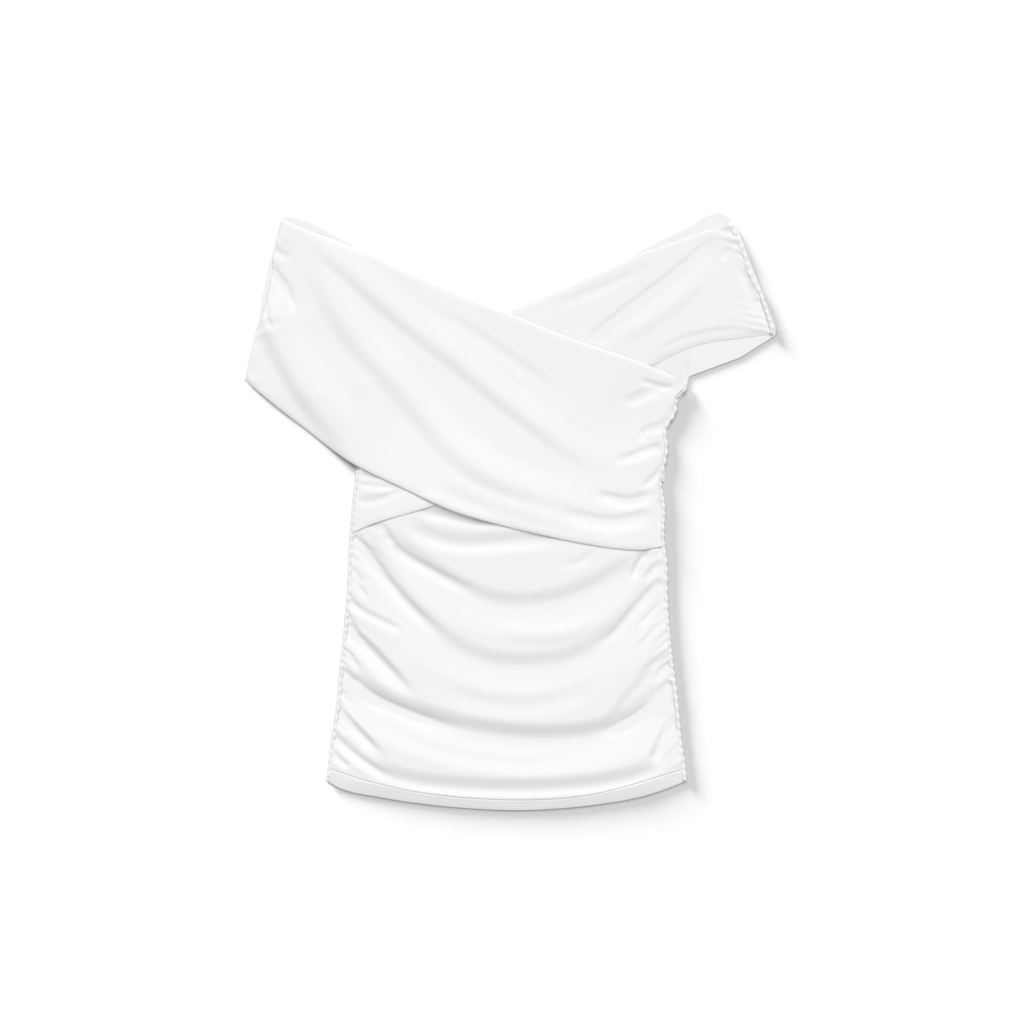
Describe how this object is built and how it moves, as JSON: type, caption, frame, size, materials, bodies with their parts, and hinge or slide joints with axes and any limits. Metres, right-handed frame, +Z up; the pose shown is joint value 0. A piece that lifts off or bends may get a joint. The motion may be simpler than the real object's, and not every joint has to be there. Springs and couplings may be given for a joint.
{
  "type": "off-shoulder crossover top laid flat",
  "caption": "Off-shoulder top laid flat: folded bands cross over the bust above a fitted body ruched into its side seams, with a turned-up hem.",
  "frame": {"origin": "middle of the garment's outline, on the surface it lies on", "axes": "+X to the viewer's right as it lies, +Y from the hem towards the neckline, +Z up off the surface"},
  "size_m": [0.5572, 0.6275, 0.0151],
  "materials": {
    "jersey": "matte fine white jersey",
    "seam_edge": "white overlocked, gathered seam edge"
  },
  "bodies": {
    "root": {"back_band": "jersey", "back_body": "jersey", "back_hem": "jersey", "front_body": "jersey", "front_hem": "jersey", "under_band": "jersey", "over_band": "jersey", "side_seam_left": "seam_edge", "side_seam_right": "seam_edge", "shoulder_seam": "seam_edge"}
  },
  "joints": []
}
